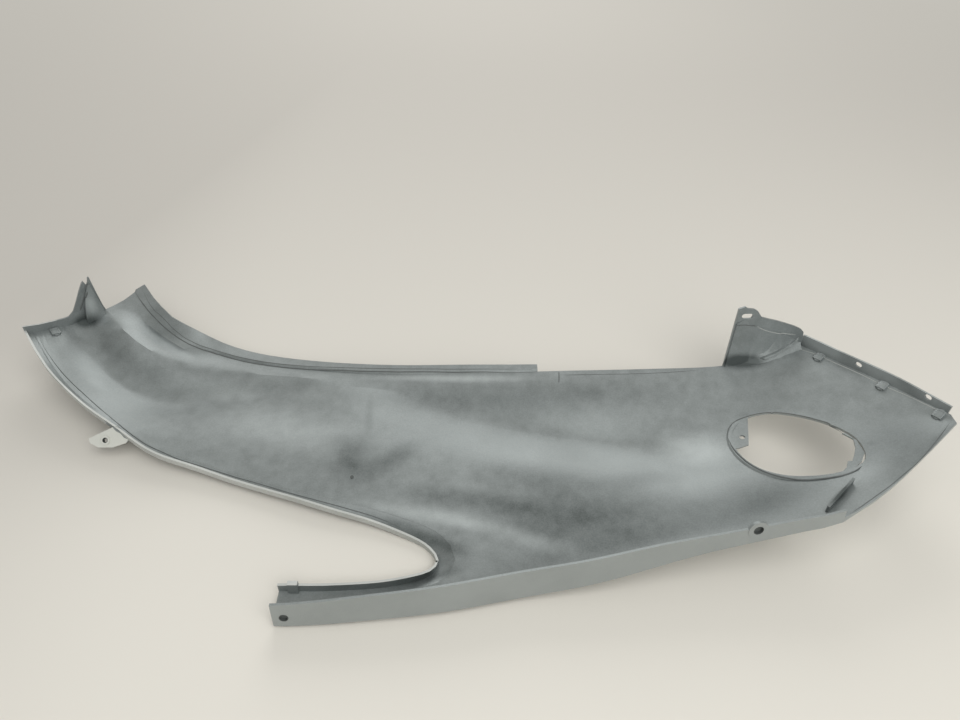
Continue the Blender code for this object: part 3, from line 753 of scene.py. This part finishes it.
@dataclass
class MouldedLines:
    """Fine steps and folds of the mould, as round beads that are half sunk in the shell. The dark beads
    paint the shade in the steps, the light ones a highlight.

    The points were picked on the picture and carried to the shell from the camera below.
    Each line is pressed on the shell again when it is laid.
    """

    cuts: int = 10
    end_share: float = 0.12
    taper: float = 0.12
    lines: tuple[Line, ...] = (
        Line("lip_step_line", 0.0007, (
            (-0.4298, 0.2135, 0.0541), (-0.4187, 0.2005, 0.0495), (-0.407, 0.1885, 0.0445),
            (-0.3891, 0.1739, 0.0352), (-0.3709, 0.1625, 0.0268), (-0.3461, 0.1509, 0.019),
            (-0.3115, 0.1414, 0.0132), (-0.271, 0.1307, 0.0106), (-0.2271, 0.1224, 0.0112),
            (-0.1679, 0.1128, 0.0173), (-0.0985, 0.1038, 0.0258), (-0.0225, 0.1029, 0.0287),
            (0.0273, 0.1042, 0.0294), (0.0923, 0.1051, 0.0302),
        )),
        Line("lip_upper_line", 0.0004, (
            (-0.4202, 0.2154, 0.0579), (-0.403, 0.1917, 0.0487), (-0.3824, 0.1744, 0.0418),
            (-0.3661, 0.1632, 0.0315), (-0.3438, 0.1537, 0.0218), (-0.3105, 0.1446, 0.0156),
            (-0.2703, 0.1344, 0.0124), (-0.2262, 0.1256, 0.0135), (-0.1682, 0.1162, 0.0193),
            (-0.0976, 0.1078, 0.0272), (-0.0227, 0.1062, 0.0307), (0.0272, 0.107, 0.0319),
            (0.0922, 0.108, 0.0325),
        )),
        Line("rim_foot_line", 0.0005, (
            (-0.5093, 0.1134, 0.0537), (-0.4914, 0.0928, 0.0484), (-0.473, 0.0745, 0.0416),
            (-0.4544, 0.0589, 0.0358), (-0.4347, 0.0439, 0.0316), (-0.416, 0.0294, 0.0289),
            (-0.3958, 0.014, 0.0276), (-0.3781, 0.001, 0.0256), (-0.3603, -0.0108, 0.0226),
            (-0.3445, -0.0199, 0.0201), (-0.3286, -0.0264, 0.0181), (-0.3067, -0.0349, 0.0154),
            (-0.2846, -0.0411, 0.0134), (-0.2623, -0.0476, 0.0119), (-0.2399, -0.0547, 0.0112),
            (-0.2106, -0.0638, 0.0118), (-0.1759, -0.0755, 0.0126), (-0.1511, -0.0828, 0.0128),
            (-0.1148, -0.0925, 0.0116), (-0.0823, -0.1014, 0.0093), (-0.0607, -0.1094, 0.0073),
            (-0.0423, -0.1185, 0.0051),
        )),
        Line("opening_ring_line", 0.0006, (
            (0.3116, 0.0029, 0.033), (0.3172, 0.0164, 0.0337), (0.3267, 0.0249, 0.0369),
            (0.3404, 0.0302, 0.0394), (0.3557, 0.0329, 0.0423), (0.3691, 0.0326, 0.0448),
            (0.3843, 0.0282, 0.0483), (0.3985, 0.0214, 0.0519), (0.4109, 0.0129, 0.0548),
            (0.4227, 0.0024, 0.0566), (0.4293, -0.0135, 0.0628),
        )),
        Line("opening_foot_line", 0.001, (
            (0.4273, -0.066, 0.0697), (0.4192, -0.0706, 0.0668), (0.409, -0.0733, 0.0631),
            (0.3964, -0.0739, 0.0592), (0.3849, -0.0736, 0.056), (0.3707, -0.0724, 0.0521),
            (0.3569, -0.0684, 0.0491), (0.3447, -0.0623, 0.046), (0.3348, -0.0547, 0.043),
            (0.3256, -0.0441, 0.0398), (0.3187, -0.0314, 0.0371), (0.3134, -0.0152, 0.0349),
            (0.3116, 0.0029, 0.033),
        )),
        Line("tail_edge_line", 0.0004, (
            (0.5247, -0.0286, 0.1023), (0.5068, -0.0462, 0.0976), (0.4887, -0.0628, 0.0924),
            (0.4718, -0.0769, 0.0879), (0.4552, -0.0882, 0.0836), (0.4387, -0.0995, 0.0797),
            (0.4222, -0.1093, 0.0755), (0.4058, -0.119, 0.0715), (0.392, -0.1266, 0.0683),
        )),
        Line("ear_slit_line", 0.0009, (
            (-0.4784, 0.162, 0.0612), (-0.4747, 0.1658, 0.0695), (-0.4711, 0.1697, 0.0777),
            (-0.4668, 0.1735, 0.086),
        ), towards=(-0.66, 0.75, -0.06)),
        Line("flap_foot_fold", 0.0026, (
            (0.3719, 0.1094, 0.0614), (0.3781, 0.1095, 0.0616), (0.3844, 0.1116, 0.0633),
            (0.3909, 0.1139, 0.0648), (0.3974, 0.1171, 0.0671), (0.4041, 0.1207, 0.0691),
            (0.4106, 0.1239, 0.0715), (0.4158, 0.1259, 0.0766), (0.4197, 0.1277, 0.0817),
        ), tone=Tone.SPRAY, towards=(0.0, 0.77, -0.64)),
        Line("seat_band_end", 0.0006, (
            (0.126, 0.1062, 0.0316), (0.1256, 0.098, 0.0304), (0.125, 0.089, 0.0288),
        )),
        Line("seat_band_line", 0.0003, (
            (0.126, 0.1012, 0.0303), (0.1762, 0.1011, 0.0333), (0.2377, 0.1005, 0.0379),
            (0.299, 0.102, 0.0439),
        )),
        Line("tail_root_line", 0.0004, (
            (0.4228, 0.1238, 0.0688), (0.4376, 0.1097, 0.0703), (0.4529, 0.0886, 0.0753),
            (0.4714, 0.0639, 0.0812), (0.4875, 0.0386, 0.0885), (0.5039, 0.0152, 0.0934),
            (0.5182, -0.0085, 0.0995), (0.5266, -0.0218, 0.1029),
        ), tone=Tone.LIGHT),
        Line("flap_fold_line", 0.0006, (
            (0.3317, 0.1197, 0.1042), (0.3434, 0.1192, 0.105), (0.3592, 0.121, 0.1027),
        ), towards=(0.0, 1.0, 0.0)),
        Line("flap_light_line", 0.0004, (
            (0.3592, 0.121, 0.1022), (0.3731, 0.1199, 0.0962), (0.3975, 0.1243, 0.0894),
            (0.4146, 0.1272, 0.0852),
        ), tone=Tone.LIGHT, towards=(0.0, 1.0, 0.0)),
    )

    def bead(self, line: Line, surface: Surface) -> Object:
        """Lay one bead on the shell.

        Args:
            line: The line to follow.
            surface: The shell's faces.

        Returns:
            The bead, as a closed mesh.
        """
        bpy.ops.curve.primitive_bezier_curve_add(location=(0.0, 0.0, 0.0))
        piece = bpy.context.object
        piece.name = line.name
        curve = piece.data
        curve.splines.clear()
        curve.resolution_u = self.cuts
        spline = curve.splines.new("BEZIER")
        spline.bezier_points.add(len(line.points) - 1)
        for knot, point in zip(spline.bezier_points, line.points):
            knot.co = point
            knot.handle_left_type = "AUTO"
            knot.handle_right_type = "AUTO"
        make_active(piece)
        bpy.ops.object.convert(target="MESH")
        for vertex in piece.data.vertices:
            vertex.co = surface.drop(vertex.co, Vector(line.towards))
        bpy.ops.object.convert(target="CURVE")
        points = piece.data.splines[0].points
        for number, point in enumerate(points):
            from_end = min(number, len(points) - 1 - number) / (len(points) - 1)
            point.radius = min(1.0, self.end_share + from_end / self.taper)
        piece.data.bevel_depth = line.radius
        piece.data.bevel_resolution = 1
        piece.data.use_fill_caps = True
        bpy.ops.object.convert(target="MESH")
        return piece

    def build(self, surface: Surface, tones: dict[Tone, Material]) -> list[Object]:
        """Build every line.

        Args:
            surface: The shell's faces.
            tones: The finish of each tone.

        Returns:
            The beads.
        """
        pieces = []
        for line in self.lines:
            piece = self.bead(line, surface)
            finish_piece(piece, tones[line.tone])
            pieces.append(piece)
        return pieces


@dataclass
class ClipTongues:
    """Square clip tongues at the foot of the end flanges, each with a dark plate in the slot behind it
    that paints the shade seen there.

    A place is the tongue's middle, the slot's middle, the way along the flange and the
    direction out of the sheet. Sizes are across, along and out.
    """

    tongue: Triple = (0.0108, 0.0104, 0.0044)
    slot: Triple = (0.0068, 0.0026, 0.0008)
    slot_depth: float = 0.0009
    bevel: float = 0.0004
    rim: float = 0.0011
    hollow: float = 0.0004
    places: tuple[tuple[Triple, ...], ...] = (
        ((0.4399, 0.1026, 0.0713), (0.4428, 0.1046, 0.0721), (-0.556, 0.811, -0.183),
         (-0.343, -0.023, 0.939)),
        ((0.4856, 0.0392, 0.0864), (0.4886, 0.0412, 0.0872), (-0.536, 0.819, -0.204),
         (-0.382, -0.02, 0.924)),
        ((0.5187, -0.0167, 0.0993), (0.5218, -0.0149, 0.1008), (-0.486, 0.848, -0.21),
         (-0.475, -0.054, 0.878)),
        ((-0.5008, 0.1334, 0.0503), (-0.5034, 0.136, 0.0508), (-0.689, -0.688, 0.229),
         (0.31, 0.006, 0.951)),
    )

    def plate(self, name: str, centre: Vector, turn: Matrix, size: Triple) -> Object:
        """Add a bevelled plate.

        Args:
            name: Its name.
            centre: Its middle.
            turn: The directions of its three sides.
            size: The lengths of its sides.

        Returns:
            The plate.
        """
        bpy.ops.mesh.primitive_cube_add(size=1.0, location=centre, rotation=turn.to_euler(), scale=size)
        plate = bpy.context.object
        plate.name = name
        bpy.ops.object.transform_apply(location=False, rotation=False, scale=True)
        bpy.ops.object.mode_set(mode="EDIT")
        bpy.ops.mesh.select_all(action="SELECT")
        bpy.ops.mesh.bevel(offset=min(self.bevel, size[2] / 3), segments=2)
        bpy.ops.object.mode_set(mode="OBJECT")
        return plate

    def hollow_top(self, plate: Object) -> None:
        """Sink the middle of a plate's top face a little, as the mould leaves it.

        Args:
            plate: The plate, with its top towards +Z.
        """
        top = max(plate.data.polygons, key=lambda face: face.center.z + face.area).index
        select_faces(plate, lambda face: face.index == top)
        bpy.ops.mesh.inset(thickness=self.rim)
        bpy.ops.mesh.inset(thickness=self.bevel, depth=-self.hollow)
        bpy.ops.object.mode_set(mode="OBJECT")

    def build(self, paint: Material, dark: Material) -> list[Object]:
        """Build the tongues and the dark plates that paint the shade in their slots.

        Args:
            paint: The finish of the tongues.
            dark: The finish of the plates that paint the shade in the slots.

        Returns:
            The pieces.
        """
        pieces = []
        for number, (middle, gap, along, out) in enumerate(self.places, start=1):
            up = Vector(out).normalized()
            run = Vector(along).normalized()
            turn = Matrix((run.cross(up), run, up)).transposed()
            tongue = self.plate(f"clip_tongue_{number}", Vector(middle), turn, self.tongue)
            self.hollow_top(tongue)
            finish_piece(tongue, paint)
            # A dark plate sunk in the slot paints the shade seen through it
            across = Matrix((run, up.cross(run), up)).transposed()
            place = Vector(gap) - up * self.slot_depth
            back = self.plate(f"clip_slot_painted_shade_{number}", place, across, self.slot)
            finish_piece(back, dark)
            pieces += [tongue, back]
        return pieces


@dataclass(frozen=True)
class Bore:
    """A screw hole: its middle, its outward direction, its size and whether it has a bottom."""

    name: str
    middle: Triple
    out: Triple
    radius: float
    depth: float
    blind: bool = True

    def open_end(self, face: bmesh.types.BMFace) -> bool:
        """Tell whether a face of the bore's cylinder closes an end that is open."""
        level = face.calc_center_median().z
        return level > self.depth / 4 or (level < -self.depth / 4 and not self.blind)


@dataclass
class DarkBoreLiners:
    """Dark liners in the screw holes, closed at the back of the blind ones: painted shade in the bores and
    in the space behind them.
    """

    wall: float = 0.0005
    sides: int = 40
    bores: tuple[Bore, ...] = (
        Bore("screw_tab_bore", (-0.3915, -0.0149, 0.0206), (-0.026, -0.677, 0.735), 0.00308, 0.0047,
             blind=False),
        Bore("front_sill_bore", (-0.1538, -0.2179, 0.0139), (0.029, -0.983, 0.181), 0.00438, 0.0031),
        Bore("rear_sill_bore", (0.2976, -0.143, 0.0621), (0.136, -0.973, 0.185), 0.00518, 0.0034),
    )

    def build(self, dark: Material) -> list[Object]:
        """Build the bore walls.

        Args:
            dark: Their finish.

        Returns:
            The pieces.
        """
        pieces = []
        for bore in self.bores:
            bpy.ops.mesh.primitive_cylinder_add(
                vertices=self.sides,
                radius=bore.radius,
                depth=bore.depth,
                end_fill_type="NGON",
                location=bore.middle,
                rotation=Vector(bore.out).to_track_quat("Z", "Y").to_euler(),
            )
            tube = bpy.context.object
            tube.name = bore.name
            select_faces(tube, bore.open_end)
            bpy.ops.mesh.delete(type="FACE")
            bpy.ops.object.mode_set(mode="OBJECT")
            wall = tube.modifiers.new("wall", "SOLIDIFY")
            wall.thickness = self.wall
            wall.offset = -1.0
            bpy.ops.object.modifier_apply(modifier=wall.name)
            finish_piece(tube, dark)
            pieces.append(tube)
        return pieces


@dataclass
class GateMark:
    """The trimmed stub where the plastic ran into the mould."""

    centre: Triple = (-0.1117, -0.0558, 0.0176)
    out: Triple = (-0.02, -0.15, 0.99)
    radius: float = 0.0019
    height: float = 0.0014
    sides: int = 28
    rim: float = radius / 3
    dish_slope: float = radius / 5
    dish_depth: float = height / 5

    def build(self, dark: Material) -> Object:
        """Build the stub.

        Args:
            dark: Its finish.

        Returns:
            The stub.
        """
        bpy.ops.mesh.primitive_cylinder_add(
            vertices=self.sides,
            radius=self.radius,
            depth=self.height,
            location=self.centre,
            rotation=Vector(self.out).to_track_quat("Z", "Y").to_euler(),
        )
        stub = bpy.context.object
        stub.name = "gate_stub"
        select_faces(stub, lambda face: face.calc_center_median().z > self.height / 3)
        bpy.ops.mesh.inset(thickness=self.rim, depth=0.0)
        bpy.ops.mesh.inset(thickness=self.dish_slope, depth=-self.dish_depth)
        bpy.ops.object.mode_set(mode="OBJECT")
        finish_piece(stub, dark)
        return stub


@dataclass(frozen=True)
class SoftLight:
    """A square soft light that looks at the panel: its place, its side and its watts."""

    name: str
    place: Triple
    size: float
    power: float


@dataclass
class Studio:
    """A pale floor, soft lights and the camera. Lengths are in metres."""

    floor_size: float = 14.0
    floor_roughness: float = 0.9
    floor_near: str = "#dcd8cd"
    floor_far: str = "#bdb9b0"
    # Painted shade: the paper darkens along an axis, from one place to another, by this share, where the
    # room's light falls off
    fades: tuple[tuple[str, float, float, float], ...] = (
        ("Y", -0.7, 1.3, 1.0),
        ("X", -0.25, -0.8, 0.75),
    )
    backdrop: str = "#c6c3bb"
    backdrop_from: float = 0.9
    backdrop_to: float = 3.0
    room_colour: str = "#fbfcff"
    ambient: float = 0.46
    lights: tuple[SoftLight, ...] = (
        SoftLight("top_light", (0.4, -1.0, 2.5), 3.0, 38.0),
        SoftLight("back_light", (0.0, 2.6, 1.5), 1.8, 32.0),
        SoftLight("fill_light", (1.2, -2.0, 1.7), 2.4, 24.0),
    )
    # The panel was drawn level and then laid down by these turns and this shift
    laid_roll: float = math.radians(-2.39)
    laid_pitch: float = math.radians(-2.111)
    laid_shift: Triple = (0.02866, 0.16999, -0.010378)
    camera_pitch: float = math.radians(40.0)
    camera_distance: float = 0.98
    camera_view: float = math.radians(67.0)
    sensor_width: float = 36.0
    clip_start: float = 0.01

    def looked_at(self, tree: NodeTree) -> NodeSocket:
        """Add a value of 1 where the eye or a reflection looks, and 0 for all other light.

        Args:
            tree: The node tree that takes the nodes.

        Returns:
            The value.
        """
        ray = add_node(tree, "ShaderNodeLightPath").outputs
        seen = ray["Is Camera Ray"]
        for other in ("Is Glossy Ray", "Is Transmission Ray"):
            seen = add_node(
                tree, "ShaderNodeMath", {"operation": "MAXIMUM"}, links={0: seen, 1: ray[other]}
            ).outputs[0]
        return seen

    def floor(self) -> None:
        """Lay the floor: pale matt paper with painted shade, a little darker at the back and the left."""
        bpy.ops.mesh.primitive_plane_add(size=self.floor_size)
        floor = bpy.context.object
        floor.name = "floor"
        material, tree, shader, place = new_material("pale_matt_paper")
        parts = add_node(tree, "ShaderNodeSeparateXYZ", links={0: place}).outputs
        fades = [
            add_node(
                tree,
                "ShaderNodeMapRange",
                {"interpolation_type": "SMOOTHSTEP"},
                {"From Min": start, "From Max": end, "To Max": share},
                {"Value": parts[axis]},
            ).outputs["Result"]
            for axis, start, end, share in self.fades
        ]
        both = add_node(
            tree, "ShaderNodeMath", {"operation": "ADD", "use_clamp": True}, links=dict(enumerate(fades))
        )
        colour = add_node(
            tree,
            "ShaderNodeMix",
            {"data_type": "RGBA"},
            {6: linear(self.floor_near), 7: linear(self.floor_far)},
            {0: both.outputs[0]},
        )
        tree.links.new(colour.outputs[2], shader.inputs["Base Color"])
        shader.inputs["Roughness"].default_value = self.floor_roughness
        # Far from the panel the paper rises into the backdrop, so that no view shows its edge
        far = add_node(tree, "ShaderNodeVectorMath", {"operation": "LENGTH"}, links={0: place})
        rise = add_node(
            tree,
            "ShaderNodeMapRange",
            {"interpolation_type": "SMOOTHSTEP"},
            {"From Min": self.backdrop_from, "From Max": self.backdrop_to},
            {"Value": far.outputs["Value"]},
        )
        seen = add_node(
            tree,
            "ShaderNodeMath",
            {"operation": "MULTIPLY"},
            links={0: rise.outputs["Result"], 1: self.looked_at(tree)},
        )
        plain = add_node(
            tree, "ShaderNodeEmission", values={"Color": linear(self.backdrop), "Strength": 1.0}
        )
        blend = add_node(
            tree,
            "ShaderNodeMixShader",
            links={0: seen.outputs[0], 1: shader.outputs["BSDF"], 2: plain.outputs[0]},
        )
        output = tree.nodes["Material Output"]
        tree.links.new(blend.outputs[0], output.inputs["Surface"])
        floor.data.materials.append(material)

    def light(self, soft: SoftLight) -> None:
        """Hang a light.

        Args:
            soft: The light.
        """
        lamp = bpy.data.lights.new(soft.name, "AREA")
        lamp.size = soft.size
        lamp.energy = soft.power
        holder = bpy.data.objects.new(soft.name, lamp)
        bpy.context.scene.collection.objects.link(holder)
        holder.location = soft.place
        holder.rotation_euler = (-Vector(soft.place)).to_track_quat("-Z", "Y").to_euler()

    def world(self) -> None:
        """Light the room evenly from all round, and show the plain backdrop in it."""
        world = bpy.data.worlds.new("soft_room")
        world.use_nodes = True
        tree = world.node_tree
        room = tree.nodes["Background"]
        room.inputs["Color"].default_value = linear(self.room_colour)
        room.inputs["Strength"].default_value = self.ambient
        plain = add_node(
            tree, "ShaderNodeBackground", values={"Color": linear(self.backdrop), "Strength": 1.0}
        )
        blend = add_node(
            tree,
            "ShaderNodeMixShader",
            links={0: self.looked_at(tree), 1: room.outputs[0], 2: plain.outputs[0]},
        )
        output = tree.nodes["World Output"]
        tree.links.new(blend.outputs[0], output.inputs["Surface"])
        bpy.context.scene.world = world

    def camera(self) -> None:
        """Put the camera at the viewing angle of the picture."""
        data = bpy.data.cameras.new("camera")
        data.sensor_width = self.sensor_width
        data.lens = self.sensor_width / 2 / math.tan(self.camera_view / 2)
        data.clip_start = self.clip_start
        camera = bpy.data.objects.new("camera", data)
        bpy.context.scene.collection.objects.link(camera)
        back = -self.camera_distance * math.cos(self.camera_pitch)
        height = self.camera_distance * math.sin(self.camera_pitch)
        laid = (
            Matrix.Translation(self.laid_shift)
            @ Matrix.Rotation(self.laid_roll, 4, "X")
            @ Matrix.Rotation(self.laid_pitch, 4, "Y")
        )
        aim = Matrix.Rotation(math.pi / 2 - self.camera_pitch, 4, "X")
        camera.matrix_world = laid @ Matrix.Translation((0.0, back, height)) @ aim
        bpy.context.scene.camera = camera

    def build(self) -> None:
        """Build the whole studio."""
        self.camera()
        self.floor()
        for soft in self.lights:
            self.light(soft)
        self.world()
        bpy.context.scene.view_settings.view_transform = "Standard"


def finishes() -> dict[Side, Material]:
    """Build the shell's four finishes.

    Returns:
        A material for each side.
    """
    inner = OversprayAndPaintedLight(
        patches=(
            # Darker along the sill: painted shade at the foot of the sill wall, and thinner spray
            Patch((0.14, -0.1, 0.018), (0.17, 0.052, 0.06), 0.05, -0.42),
            Patch((0.32, -0.095, 0.045), (0.14, 0.05, 0.06), 0.2, -0.42),
            Patch((0.17, -0.137, 0.02), (0.2, 0.03, 0.06), 0.12, -0.28),
            # Painted shade above the long pale streak from the cut-out and in the rolled band below it;
            # the streak itself is a painted highlight along the crease
            Patch((0.02, -0.078, 0.012), (0.12, 0.02, 0.05), -0.1, -0.3),
            Patch((0.11, -0.052, 0.015), (0.13, 0.034, 0.05), -0.08, -0.26),
            Patch((-0.025, -0.099, 0.011), (0.11, 0.014, 0.05), -0.14, 0.33),
            Patch((0.06, -0.119, 0.012), (0.11, 0.016, 0.05), -0.3, 0.3),
            Patch((-0.04, -0.119, 0.006), (0.085, 0.013, 0.03), -0.4, -0.42),
            Patch((0.0, -0.141, 0.008), (0.03, 0.036, 0.03), 0.0, -0.16),
            Patch((-0.03, -0.17, 0.01), (0.06, 0.01, 0.03), 0.2, -0.4),
            Patch((0.2, -0.05, 0.018), (0.07, 0.02, 0.05), 0.1, -0.14),
            # Painted shade along the seat edge, where the sheet turns away from the light, and a painted
            # highlight in a band right under the lip
            Patch((0.06, 0.068, 0.02), (0.26, 0.036, 0.06), 0.02, -0.26),
            Patch((-0.01, 0.0955, 0.0255), (0.14, 0.008, 0.03), 0.0, 0.4),
            # Painted highlight where the side bulges towards the light, left of the indicator opening
            Patch((0.275, -0.008, 0.024), (0.06, 0.034, 0.05), -0.3, 0.52),
            # Painted shade in the arm's valley, whose wall turns away from the light, and one paler spot
            Patch((-0.432, 0.127, 0.035), (0.062, 0.032, 0.04), -0.75, -0.2),
            Patch((-0.382, 0.094, 0.018), (0.07, 0.03, 0.04), -0.45, -0.22),
            Patch((-0.28, 0.078, 0.004), (0.05, 0.018, 0.03), 0.0, 0.25),
            # Painted light along the middle of the arm and right under its lip, where the sheet faces the
            # light
            Patch((-0.375, 0.147, 0.023), (0.055, 0.013, 0.03), -0.5, 0.5),
            Patch((-0.185, 0.01, 0.016), (0.13, 0.045, 0.05), -0.25, 0.32),
            # Darker towards the tail and its lower edge
            Patch((0.47, -0.045, 0.083), (0.075, 0.075, 0.06), 0.6, -0.32),
            # Paler on the tail flange
            Patch((0.442, 0.113, 0.084), (0.05, 0.01, 0.019), -0.95, 0.75),
            Patch((0.479, 0.056, 0.097), (0.05, 0.01, 0.019), -0.95, 0.65),
            Patch((0.515, 0.002, 0.11), (0.045, 0.01, 0.018), -0.95, 0.55),
            # Handling marks near the gate
            Patch((-0.12, -0.01, 0.019), (0.05, 0.03, 0.03), 0.0, -0.24),
            Patch((-0.103, 0.034, 0.02), (0.008, 0.045, 0.03), 0.08, -0.14),
            Patch((-0.114, -0.038, 0.018), (0.034, 0.042, 0.03), 0.3, -0.32),
            Patch((-0.07, -0.03, 0.017), (0.055, 0.02, 0.03), 0.7, -0.26),
            # Painted shade at the feet of the flap and the ear, and on the rib, which lie in deep shade
            Patch((0.35, 0.109, 0.057), (0.045, 0.018, 0.014), 0.0, -0.9),
            Patch((-0.474, 0.159, 0.046), (0.026, 0.014, 0.016), 0.2, -0.7),
            Patch((0.389, -0.105, 0.07), (0.03, 0.006, 0.02), 0.735, -0.6),
            # Paler on the ear's inner leaf
            Patch((-0.464, 0.166, 0.07), (0.01, 0.02, 0.02), 0.8, 0.5),
        )
    )
    # The outer side keeps its lacquer and looks satin to glossy
    outer = SilverPaint(
        name="abs_with_silver_paint",
        colour="#9ca19f",
        shade="#8f9492",
        roughness=0.36,
        metallic=0.35,
        coat=0.35,
    )
    # The rims and wall tops are paler and duller: a painted highlight where their edges catch the light,
    # with paint rubbed by handling
    edge = SilverPaint(
        name="rubbed_silver_edge_and_painted_highlight", colour="#c3c5c0", shade="#a6a9a4", roughness=0.5, metallic=0.2, coat=0.0
    )
    # The screw tab is the palest place, with no shine
    tab = SilverPaint(
        name="pale_screw_tab", colour="#c9cac1", shade="#babbb2", roughness=0.55, metallic=0.0, coat=0.0
    )
    return {
        Side.INNER: inner.build(),
        Side.OUTER: outer.build(),
        Side.EDGE: edge.build(),
        Side.TAB: tab.build(),
    }


def main() -> None:
    """Load the fixed model, build its dressed shell and the studio, and note the sizes."""
    logging.basicConfig(level=logging.INFO, format="%(name)s: %(message)s")
    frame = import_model()
    coats = finishes()
    # Dark plastic: painted shade in the slots and bores, and the gate stub's own colour
    shade = ShadedPlastic().build()
    shell = PanelShell().build(frame["nodes"][PANEL_NODE], coats)
    LOG.info("panel shell: %d faces", len(shell.data.polygons))
    # Painted shade for the dark moulded lines
    step = ShadedPlastic(name="painted_shade_step", darker_tone="#4b4f4d", paler_tone="#666a68").build()
    # The light moulded lines take the rims' painted highlight
    tones = {Tone.SHADE: step, Tone.LIGHT: coats[Side.EDGE], Tone.SPRAY: coats[Side.INNER]}
    lines = MouldedLines().build(Surface(shell), tones)
    LOG.info("moulded lines: %d beads", len(lines))
    clips = ClipTongues().build(coats[Side.INNER], shade)
    LOG.info("clip tongues: %d pieces", len(clips))
    bores = DarkBoreLiners().build(shade)
    LOG.info("bare bores: %d pieces", len(bores))
    stub = GateMark().build(shade)
    LOG.info("gate mark: %s", stub.name)
    Studio().build()
    LOG.info("studio: floor, three lights, room and camera")


if __name__ == "__main__":
    main()
